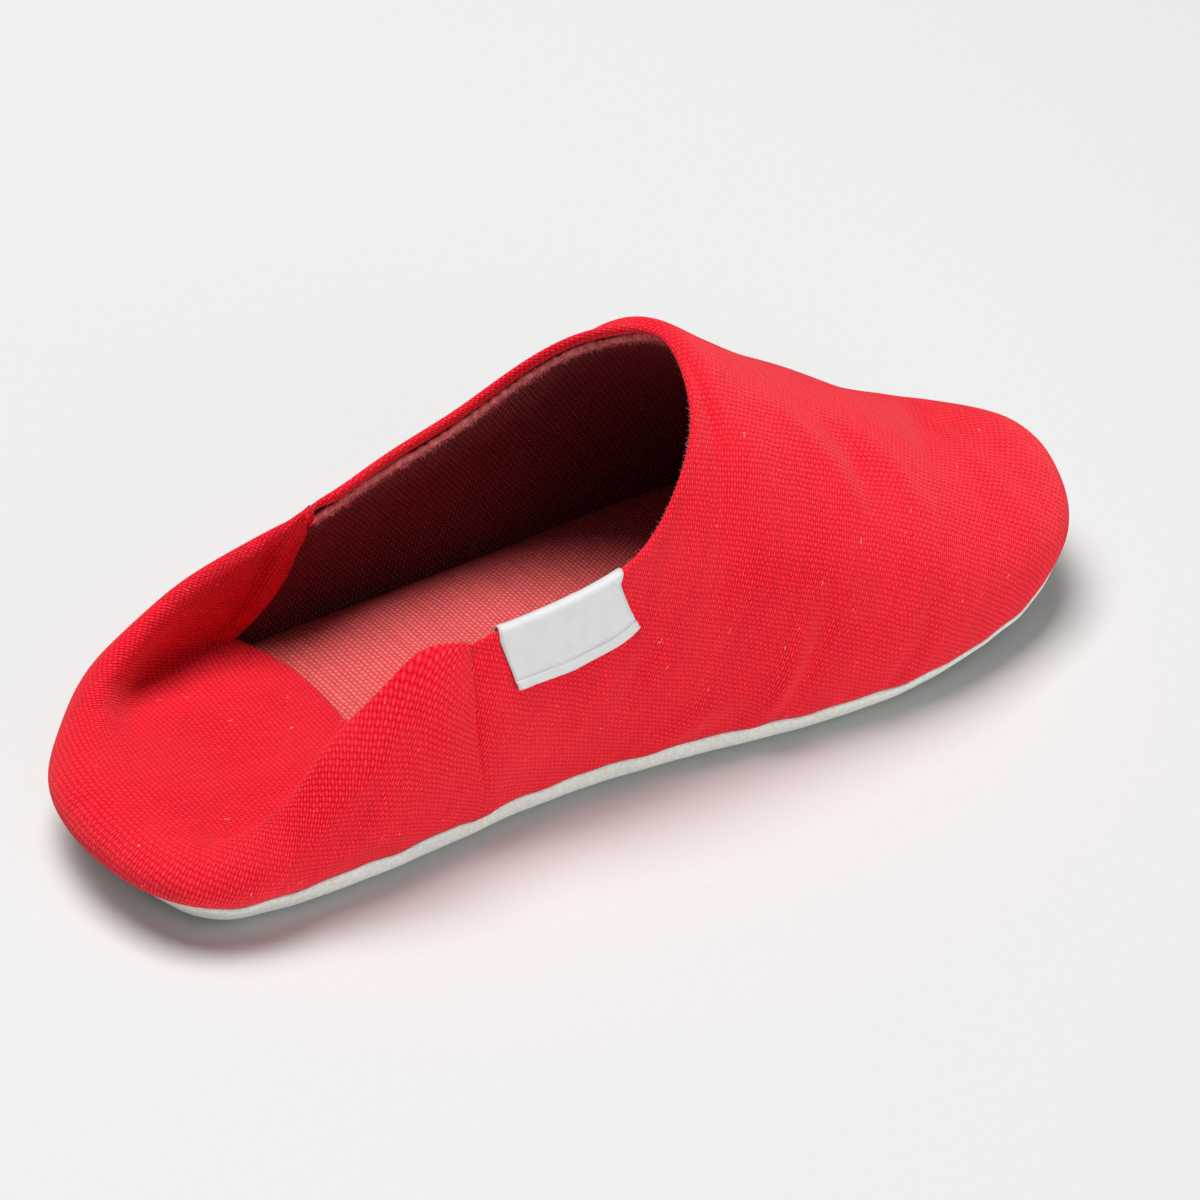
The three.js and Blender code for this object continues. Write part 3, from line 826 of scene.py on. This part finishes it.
# Adds rings of points beyond a border, turned the same way as the sheet.
def addStrips(points, faces, border, rings):
    count = len(border)
    columns = np.concatenate([border[None], len(points) + np.arange(len(rings) * count).reshape(-1, count)])
    strips = quadsOf(columns)
    middle = count // 2
    along = (faces == border[middle]) & (np.roll(faces, -1, 1) == border[middle + 1])
    strips = strips if along.any() else strips[:, ::-1]
    return np.vstack([points, *rings]), np.vstack([faces, strips]), columns


def facedOut(points, faces):
    middle = points.mean(0)
    normal = normalsOf(points, faces)
    return faces if ((points - middle) * normal).sum() > 0 else faces[:, ::-1]


# The highest and the foremost of some points, which the grain line joins.
def grainEnds(points, ends):
    return [ends[np.argmax(points[ends, k])] for k in (2, 0)]


def makeVamp():
    points, faces, index, topline = vampSheet(vamp["ribStep"], vamp["columns"])
    faces = facedOut(points, faces)
    points, normals = worked(points, faces, vamp)
    pole = index[len(index) // 2, -1]
    held = np.linalg.norm(points - points[pole], axis=1) > vamp["toeSoftened"]
    points = relaxed(points, faces, 24, held=held)
    for end in (index[0], index[-1]):
        away, _ = distanceToLine(points, points[end])
        dip = -vamp["seamDip"] * bell(away, vamp["seamWidth"])
        height, reach, width = vamp["seamPuff"]
        points = points + normals * (dip + height * bell(away - reach, width))[:, None]
    # A strip of the cloth runs on under the heel quarter's edge.
    for end in (index[0], index[-1]):
        off, out = borderFrame(points, faces, end)
        tucks = [points[end] + off * reach - out * sink for reach, sink in vamp["tuck"]]
        points, faces, _ = addStrips(points, faces, end, tucks)
    off, out = borderFrame(points, faces, topline)
    base = points[topline]
    fromEnd = np.minimum(np.arange(len(base)), np.arange(len(base))[::-1])
    least, grown = vamp["rollEnds"]
    radius = vamp["rollRadius"] * (least + (1 - least) * smoothstep(fromEnd, 0, grown))[:, None]
    turns = np.linspace(0, math.pi, 9)[1:]
    rings = [base + out * radius * (math.cos(turn) - 1) + off * radius * math.sin(turn) for turn in turns]
    rings += [base - out * 2 * radius - off * drop for drop in vamp["facing"]]
    rings.append(base - out * radius * vamp["facingEnd"][0] - off * vamp["facingEnd"][1])
    points, faces, columns = addStrips(points, faces, topline, rings)
    away, _ = distanceToLine(points, points[topline])
    held = away > vamp["rollSoftened"]
    held[columns[3:]] = True
    points = relaxed(points, faces, 5, held=held)
    faces = facedOut(points, faces)
    piece = makeMesh("vampCanvas", points, faces, canvasRed)
    layFlat(piece, *grainEnds(points, index[:, -1]))
    thicken(piece, vamp["cloth"])
    return piece


# Heel quarter: canvas on both faces, folded inward and trodden flat onto the insole.
quarter = {
    "ribStep": 1.25,
    "wallColumns": 40,
    "flapColumns": 52,
    "cloth": 1.1,
    "cornerCloth": 0.3,  # share of the thickness left at the two corners of the free edge
    "cornerReach": (3, 12),
    "uneven": (26, 0.4, 11),
    "unevenFrom": (9, 17),
    "grainRibs": 18,  # the grain line runs this many ribs to each side of the heel
    "grainColumn": 14,
    "seamDip": -0.12,
    "seamWidth": 0.8,
    "creases": [  # width, height and the points of the line
        (1.4, -1.5, (67, 29.5, 46), (65.5, 28.8, 43), (64, 29.6, 37), (61, 31, 29), (57, 33, 22),
         (52, 34, 17)),
        (2.0, 1.1, (68.5, 28, 42), (66.5, 29, 35), (63, 30.5, 27)),
        (3.0, -0.9, (50, -34, 30), (40, -31, 20), (28, -26, 16)),
        (3.5, 0.6, (57, -40, 44), (44, -40, 33), (30, -37, 22)),
        (4.0, -0.7, (47, -43, 28), (36, -43, 20), (24, -40, 14)),
        (3.0, -0.8, (12, 18, 19), (20, 24, 22), (30, 28, 24)),
        (5.0, 0.5, (24, -8, 16), (36, -12, 15.5), (48, -10, 15)),
    ],
}


def makeQuarter():
    ways = np.linspace(seamWay, 1, round((1 - seamWay) * seamLength / quarter["ribStep"]) + 1)
    lines = []
    for side, chosen in ((-1, ways), (1, ways[:-1][::-1])):
        walls = wallLines(heelWallControls(side, chosen), quarter["wallColumns"])
        flaps = [curveThrough(knots, fineSteps) for knots in flapKnots(side, chosen)]
        flaps = evenly(flaps, quarter["flapColumns"])
        lines.append(np.concatenate([walls, flaps[:, 1:]], 1))
    lines = np.concatenate(lines)
    columns = lines.shape[1]
    index = np.arange(len(lines) * columns).reshape(len(lines), columns)
    points, faces, merged = welded(lines.reshape(-1, 3), gridFaces(len(lines), columns))
    index = merged[index]
    points = relaxed(points, faces, 26)
    faces = faces if normalsOf(points, faces)[index[len(lines) // 2, 12]][0] < 0 else faces[:, ::-1]
    points, normals = worked(points, faces, quarter)
    wall = quarter["wallColumns"]
    for end in (index[0, :wall], index[-1, :wall]):
        away, _ = distanceToLine(points, points[end])
        dip = -quarter["seamDip"] * bell(away, quarter["seamWidth"])
        dip[np.setdiff1d(index[:, wall:], index[:, :wall])] = 0
        points = points + normals * dip[:, None]
    piece = makeMesh("heelQuarter", points, faces, canvasRed)
    grain = index[:, quarter["grainColumn"]]
    layFlat(piece, *(grain[len(lines) // 2 + ribs] for ribs in (-quarter["grainRibs"], quarter["grainRibs"])))
    thick = thicken(piece, quarter["cloth"])
    thinned = piece.vertex_groups.new(name="thickness")
    away = np.minimum(*(np.linalg.norm(points - points[index[end, -1]], axis=1) for end in (0, -1)))
    share = quarter["cornerCloth"] + (1 - quarter["cornerCloth"]) * smoothstep(away, *quarter["cornerReach"])
    for number, weight in enumerate(share):
        thinned.add([number], float(weight), "REPLACE")
    thick.vertex_group = thinned.name
    return piece


# Lining: the same walls seen from inside, its upper edge a little below the topline.
lining = {
    "ribStep": 1.9,
    "columns": 56,
    "below": 2.8,
    "eased": 9.0,
    "inside": 1.5,
    "deeper": 1.6,  # how much further in it hangs away from the topline, clear of the canvas's troughs
    "deeperFrom": (5, 16),
    "insideQuarter": 3.4,
    "behindFrom": (-1, 6),  # past the side seam
    "behindBelow": 5,
    "cloth": 0.6,
    "past": 0.085,  # how far it runs on behind the folded heel, as a share of the way
    "sewnTo": 0.12,  # how far behind the side seam its edge is still sewn
    "trim": (66.0, 0.43, 46.0),  # behind the fold it is cut slanting: along at a height, and along per height
}


def liningSheet():
    past = np.linspace(seamWay, seamWay + lining["past"], 14)[1:]
    points, faces, index, topline = vampSheet(lining["ribStep"], lining["columns"], past=past)
    faces = facedOut(points, faces)
    off, out = borderFrame(points, faces, topline)
    away, _ = distanceToLine(points, points[topline])
    nearest = np.array([np.argmin(((points[topline] - p) ** 2).sum(1)) for p in points])
    seamAt = wallControls(1, np.array([seamWay]))[0, 3, 0]
    behind = smoothstep(seamAt - points[:, 0], *lining["behindFrom"])
    move = (lining["below"] + lining["behindBelow"] * behind) * np.clip(1 - away / lining["eased"], 0, 1)
    points = points - off[nearest] * move[:, None]
    normals = normalsOf(points, faces)
    depth = lining["inside"] + lining["deeper"] * smoothstep(away, *lining["deeperFrom"])
    depth = depth + (lining["insideQuarter"] - depth) * behind
    return points - normals * depth[:, None], faces, index, topline, off, out, behind


def makeLining():
    points, faces, index, topline, off, out, behind = liningSheet()
    middle = points[faces].mean(1)
    along, slope, height = lining["trim"]
    faces = faces[middle[:, 0] > along - slope * (height - middle[:, 2])]
    used, renumbered = np.unique(faces, return_inverse=True)
    piece = makeMesh("wallLining", points[used], renumbered.reshape(faces.shape)[:, ::-1], shadedLiningMaterial)
    layFlat(piece, *np.searchsorted(used, grainEnds(points, index[:, -1])))
    thicken(piece, lining["cloth"], 1)
    sewn = behind[topline] < lining["sewnTo"]
    return piece, [values[sewn] for values in (points[topline], off, out)]


# The lining's sewn edge: a soft roll under the topline, with the cloth's loose fibres on it.
edgeRoll = {
    "radius": 0.8,
    "inward": 0.55,
    "raised": 0.1,
    "spacing": 0.45,
    "corners": 10,
    "lumps": (1.6, 0.14, 3),  # size, height and seed
    "fibres": 5200,
    "fibreLength": (0.5, 1.2),
    "fibreRadius": 0.055,
    "colour": (0.95, 0.34, 0.34),
    # painted shade for the hollows between the tufts
    "hollowShadeColour": (0.70, 0.150, 0.160),
}


def edgeMaterial():
    material, tree, shader = newMaterial("frayedRose")
    place = put(tree, "ShaderNodeTexCoord").outputs["Object"]
    tuft = noise(tree, place, 900.0, 3.0).outputs[0]
    # The tufts' low places, where the bump sinks, are painted darker: painted shade.
    colour = ramp(tree, tuft, [(0.3, edgeRoll["hollowShadeColour"]), (0.65, edgeRoll["colour"])])
    dress(tree, shader, colour, (0.95, 0.1, 0.15, 0.5, (1.0, 0.75, 0.75, 1)), tuft, 0.8, 0.4)
    return material


def tubeRings(path, sideways, upward, radii, corners):
    turns = np.arange(corners) * 2 * math.pi / corners
    spread = np.cos(turns)[None, :, None] * sideways[:, None] + np.sin(turns)[None, :, None] * upward[:, None]
    return path[:, None] + spread * radii[:, None, None]


def tubeFaces(rings, corners):
    index = np.arange(rings * corners).reshape(rings, corners)
    return quadsOf(np.hstack([index, index[:, :1]]))


def makeEdgeRoll(border, off, out):
    run = runOf(border)
    fine = np.linspace(0, run[-1], int(run[-1] / edgeRoll["spacing"]))
    path, offs, outs = (readLine(values, run, fine) for values in (border, off, out))
    path = path - outs * edgeRoll["inward"] + offs * edgeRoll["raised"]
    lumps = uneven(path, *edgeRoll["lumps"])
    corners = edgeRoll["corners"]
    rings = tubeRings(path, outs, offs, edgeRoll["radius"] + lumps, corners)
    points = [rings.reshape(-1, 3)]
    faces = [tubeFaces(len(path), corners)]
    draw = np.random.default_rng(21)
    start = len(path) * corners
    steps = np.linspace(0, 1, 4)
    for _ in range(edgeRoll["fibres"]):
        at = draw.integers(1, len(path) - 1)
        turn = draw.uniform(0.45, 1.35) * math.pi
        away = outs[at] * math.cos(turn) + offs[at] * math.sin(turn)
        along = unit(path[at + 1] - path[at - 1])
        root = path[at] + away * edgeRoll["radius"] * 0.8
        reach = draw.uniform(*edgeRoll["fibreLength"])
        aim = unit(away + along * draw.normal(0, 0.7) + offs[at] * draw.normal(0, 0.4))
        curl = unit(draw.normal(size=3))
        line = root + aim * reach * steps[:, None] + curl * reach * 0.45 * (steps**2)[:, None]
        sideways = unit(np.cross(aim, curl))
        across, over = (np.tile(way, (4, 1)) for way in (sideways, np.cross(aim, sideways)))
        radii = edgeRoll["fibreRadius"] * (1 - 0.5 * steps)
        points.append(tubeRings(line, across, over, radii, 3).reshape(-1, 3))
        faces.append(tubeFaces(4, 3) + start)
        start += 12
    return makeMesh("liningEdge", np.vstack(points), np.vstack(faces), edgeMaterial())


# Insole: a padded sock of the lining cloth.
insole = {
    "height": 5.0,
    "ribStep": 1.6,
    "across": 46,
    "crown": 0.6,  # under the trodden heel
    "crownFree": 2.6,
    "freeFrom": (60, 90),
    "square": 5,  # how flat the crown is across
    "narrow": (8, 50),  # the widths over which it rises
    "puff": 1.4,
    "puffAt": 96.0,
    "puffReach": 38.0,
    "uneven": (30, 0.18, 8),
    "edge": ((3.2, 0.0), (2.5, 0.3), (2.4, 0.62), (2.8, 0.86), (3.9, 1.0)),
}


# A ring round the sole; its inset is one number or one for each point.
def ringOf(ways, inset, height, waved=0.0):
    inset = np.broadcast_to(inset, 2 * len(ways) - 2)[:, None]
    inner = rimPoint(-1, ways, inset[:len(ways)], height, waved)
    outer = rimPoint(1, ways[1:-1][::-1], inset[len(ways):], height, waved)
    return np.vstack([inner, outer])


# A pad: rings round its edge, then straight lines across that close the two faces.
def padMesh(name, ways, rings, across, material, lift):
    count = len(rings[0])
    half = len(ways)
    points, faces = np.vstack(rings), []
    for k in range(len(rings) - 1):
        index = np.arange(count)
        after = np.roll(index, -1)
        faces.append(np.stack([index, after, after + count, index + count], -1) + k * count)
    for ring, flip, face in ((rings[0], True, "under"), (rings[-1], False, "over")):
        inner = ring[:half]
        outer = np.vstack([ring[:1], ring[half:][::-1], ring[half - 1:half]])
        t = np.linspace(0, 1, across)
        lines = inner[:, None] * (1 - t)[None, :, None] + outer[:, None] * t[None, :, None]
        lines[:, :, 2] += lift(face, lines, t)
        quads = gridFaces(half, across) + len(points)
        faces.append(quads[:, ::-1] if flip else quads)
        points = np.vstack([points, lines.reshape(-1, 3)])
    points, faces, _ = welded(points, np.vstack(faces), close=0.02)
    return makeMesh(name, points, faces, material)


def makeInsole():
    ways = np.linspace(0, 1, round(seamLength / insole["ribStep"]))
    base = slipper["rimHeight"] + slipper["seamGap"]
    rings = [ringOf(ways, inset, base + share * insole["height"]) for inset, share in insole["edge"]]

    def lift(face, lines, t):
        if face == "under":
            return 0
        width = np.linalg.norm(lines[:, -1] - lines[:, 0], axis=1)[:, None]
        free = smoothstep(lines[:, 0, 0], *insole["freeFrom"])[:, None]
        puff = insole["puff"] * bell(lines[:, 0, 0] - insole["puffAt"], insole["puffReach"])[:, None]
        crown = insole["crown"] + (insole["crownFree"] + puff - insole["crown"]) * free
        arch = (1 - np.abs(2 * t - 1) ** insole["square"])[None]
        crown = crown * arch * smoothstep(width, *insole["narrow"])
        bumps = uneven(lines.reshape(-1, 3), *insole["uneven"]).reshape(crown.shape)
        return crown + bumps * np.sin(math.pi * t)[None]

    piece = padMesh("paddedInsole", ways, rings, insole["across"], insoleRose, lift)
    flatMap(piece)
    return piece


# Lays a nearly flat piece's map straight down, in millimetres.
def flatMap(piece):
    mesh = piece.data
    layer = mesh.uv_layers.new(name="clothMap").uv
    places = arrayOf(mesh.vertices, "co", 3) * 1000
    corners = arrayOf(mesh.loops, "vertex_index", kind=np.int32)
    layer.foreach_set("vector", np.ascontiguousarray(places[corners][:, :2]).ravel())


# Sole: a cupped pad of suede, flat below, its raised edge gently wavy where it is sewn.
sole = {
    "ribStep": 1.5,
    "across": 60,
    "edge": ((8.0, 0.0), (6.2, 0.08), (4.4, 0.42), (2.9, 1.05), (1.7, 2.0), (0.85, 3.2), (0.35, 4.5),
             (0.1, 5.8), (0.0, 6.5), (0.25, 6.95), (0.9, 7.1), (1.8, 6.9)),  # inset and height
    "undercut": 1.7,  # how much further in the edge turns under at the toe and the heel
    "toeFrom": (120, 200),
    "heelFrom": (-45, -8),
    "wavedFrom": (0.5, 5.0),  # the heights over which the sewn edge's waves grow
}


def makeSole():
    ways = np.linspace(0, 1, round(seamLength / sole["ribStep"]))
    rings = []
    for inset, height in sole["edge"]:
        waved = smoothstep(height, *sole["wavedFrom"])
        along = ringOf(ways, inset, height)[:, 0]
        ends = smoothstep(along, *sole["toeFrom"]) + smoothstep(-along, *sole["heelFrom"])
        turned = sole["undercut"] * (1 - smoothstep(height, 3.0, 6.4))
        rings.append(ringOf(ways, inset + turned * ends, height, waved))
    return padMesh("suedeSole", ways, rings, sole["across"], paleSuede, lambda face, lines, t: 0)


# Label: satin tape folded over the inner topline, its lower end turned under.
label = {
    "way": (0.575, 0.656),  # of its ends toward the toe and the heel
    "lean": (0.024, 0.010),
    "reach": (16.5, 12.5),
    "tape": 0.28,
    "outside": 14.0,
    "inside": 8.0,
    "clear": 0.35,
    "overEdge": (1.2, 3.4, 2.4),  # how much further in it stands over the lining's edge, where and how wide
    "foldRise": (1.3, 0.25),  # of the fold's middle over the topline, and more at its top
    "hem": 2.2,
    "rows": 28,
}


def makeLabel():
    hemAt = label["outside"] - label["hem"]
    atHem = hemAt + np.array([0.08, 0, -0.08, -0.2, -0.4, -0.8])
    drops = [*np.linspace(label["outside"], hemAt + 0.2, 6), *atHem, *np.linspace(hemAt - 1.4, 1.0, 12)]
    half = slipper["wall"] / 2 + label["clear"]
    count = label["rows"]
    ways, leans, reaches = (np.linspace(*label[key], count) for key in ("way", "lean", "reach"))

    # The wall's points, its climbing directions and its outward directions at a drop below the topline.
    def at(drop):
        down = drop / label["outside"]
        here = ways - leans * down
        walls, ahead = (wallLines(wallControls(-1, w), 400) for w in (here, here + 0.002))
        lengths = np.linalg.norm(np.diff(walls, axis=1), axis=2).sum(1)
        i = np.clip(np.round(399 * (1 - down * reaches / lengths)).astype(int), 1, 399)
        each = np.arange(count)
        climb = unit(walls[each, i] - walls[each, i - 1])
        back = unit(ahead[each, i] - walls[each, i])
        return walls[each, i], climb, unit(np.cross(climb, back))

    rows = []
    ripple = np.sin(np.arange(count) * 0.5)[:, None]
    for drop in drops:
        place, climb, out = at(drop)
        hemmed = smoothstep(drop, hemAt - 0.1, hemAt + 0.1)
        pressed = bell(drop - hemAt + 0.25, 0.35)
        lifted = 0.15 * ripple * smoothstep(drop, 8.0, 13.6)
        rows.append(place + out * (label["clear"] + label["tape"] + 0.32 * hemmed - 0.16 * pressed + lifted))
    place, climb, out = at(1.0)
    centre = place - out * slipper["wall"] / 2
    rise, more = label["foldRise"]
    deeper, edgeAt, edgeWidth = label["overEdge"]
    for turn in np.linspace(0, math.pi, 9):
        over = climb * (rise + (half + more) * math.sin(turn))
        rows.append(centre + over + out * (half + label["tape"]) * math.cos(turn))
    for drop in np.linspace(2.0, label["inside"], 6):
        place, climb, out = at(drop)
        overEdge = deeper * bell(drop - edgeAt, edgeWidth)
        rows.append(place - out * (slipper["wall"] + label["clear"] + label["tape"] + overEdge))
    rows = np.stack(rows, 1)
    faces = gridFaces(*rows.shape[:2])
    points = rows.reshape(-1, 3)
    normal = normalsOf(points, faces)[5 * rows.shape[1] + 6]
    faces = faces if normal[1] < 0 else faces[:, ::-1]
    piece = makeMesh("satinLabel", points, faces, whiteSatin)
    layFlat(piece, 9, 9 + (count - 1) * rows.shape[1])
    thicken(piece, label["tape"])
    return piece


vampCanvas = makeVamp()
print("slipper: vamp made")
heelQuarter = makeQuarter()
print("slipper: heel quarter made")
wallLining, liningBorder = makeLining()
print("slipper: lining made")
liningEdge = makeEdgeRoll(*liningBorder)
paddedInsole = makeInsole()
suedeSole = makeSole()
satinLabel = makeLabel()
print("slipper: edge, insole, sole and label made")

for piece, node, slot in (
    (vampCanvas, "upper", "canvas"),
    (heelQuarter, "upper", "canvas"),
    (wallLining, "upper", "lining"),
    (liningEdge, "upper", "lining"),
    (paddedInsole, "insole", "lining"),
    (suedeSole, "sole", "suede"),
    (satinLabel, "tag", "tag"),
):
    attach(piece, "root")
    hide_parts(node)

# Floor, light and camera.
studio = {
    "floor": ((0.640, 0.655, 0.660), (0.653, 0.668, 0.673)),
    "floorSize": 12.0,
    "world": (0.97, 0.98, 1.0),
    "worldStrength": 0.14,
    "keyPower": 60.0,
    "keySize": (1.3, 1.3),
    "keyFrom": (-0.22, 0.42, 2.1),
    "fillPower": 26.0,
    "fillSize": (2.4, 0.4),
    "fillFrom": (0.35, -1.9, 0.24),
}


def makeFloor():
    material, tree, shader = newMaterial("paleFloor")
    place = put(tree, "ShaderNodeTexCoord").outputs["Object"]
    fine = noise(tree, place, 420.0, 3.0).outputs[0]
    dress(tree, shader, ramp(tree, fine, zip((0.3, 0.7), studio["floor"])), (0.75, 0.25))
    half = studio["floorSize"] / 2
    mesh = bpy.data.meshes.new("floor")
    corners = [(x * half, y * half, 0) for x, y in ((-1, -1), (1, -1), (1, 1), (-1, 1))]
    mesh.from_pydata(corners, [], [(0, 1, 2, 3)])
    mesh.materials.append(material)
    floor = placed("floor", mesh)


def makeLight(name, place, power, size, colour=(1, 1, 1)):
    lamp = bpy.data.lights.new(name, "AREA")
    lamp.energy = power
    lamp.shape = "RECTANGLE"
    lamp.size, lamp.size_y = size
    lamp.color = colour
    light = placed(name, lamp)
    light.location = place
    light.rotation_euler = (-Vector(place)).to_track_quat("-Z", "Y").to_euler()


makeFloor()
makeLight("windowLight", studio["keyFrom"], studio["keyPower"], studio["keySize"], (1.0, 0.99, 0.97))
makeLight("fillLight", studio["fillFrom"], studio["fillPower"], studio["fillSize"])
world = bpy.data.worlds.new("studio")
world.use_nodes = True
world.node_tree.nodes["Background"].inputs[0].default_value = (*studio["world"], 1)
world.node_tree.nodes["Background"].inputs[1].default_value = studio["worldStrength"]
bpy.context.scene.world = world
bpy.context.scene.view_settings.view_transform = "Standard"

# The camera looks from above the heel's inner side toward the toe.
view = {
    "from": (-0.4951, -0.6883, 0.6008),
    "aim": (0.003, -0.005, 0.026),
    "roll": 2.19,
    "lens": 143.0,
}


def makeCamera():
    lens = bpy.data.cameras.new("camera")
    lens.lens = view["lens"]
    lens.sensor_width = 36
    lens.clip_start, lens.clip_end = 0.05, 50
    camera = placed("camera", lens)
    place, aim = Vector(view["from"]), Vector(view["aim"])
    turn = (aim - place).to_track_quat("-Z", "Y").to_matrix().to_4x4()
    roll = Matrix.Rotation(math.radians(view["roll"]), 4, "Z")
    camera.matrix_world = Matrix.Translation(place) @ turn @ roll
    bpy.context.scene.camera = camera


makeCamera()
print("slipper: floor, light and camera made")
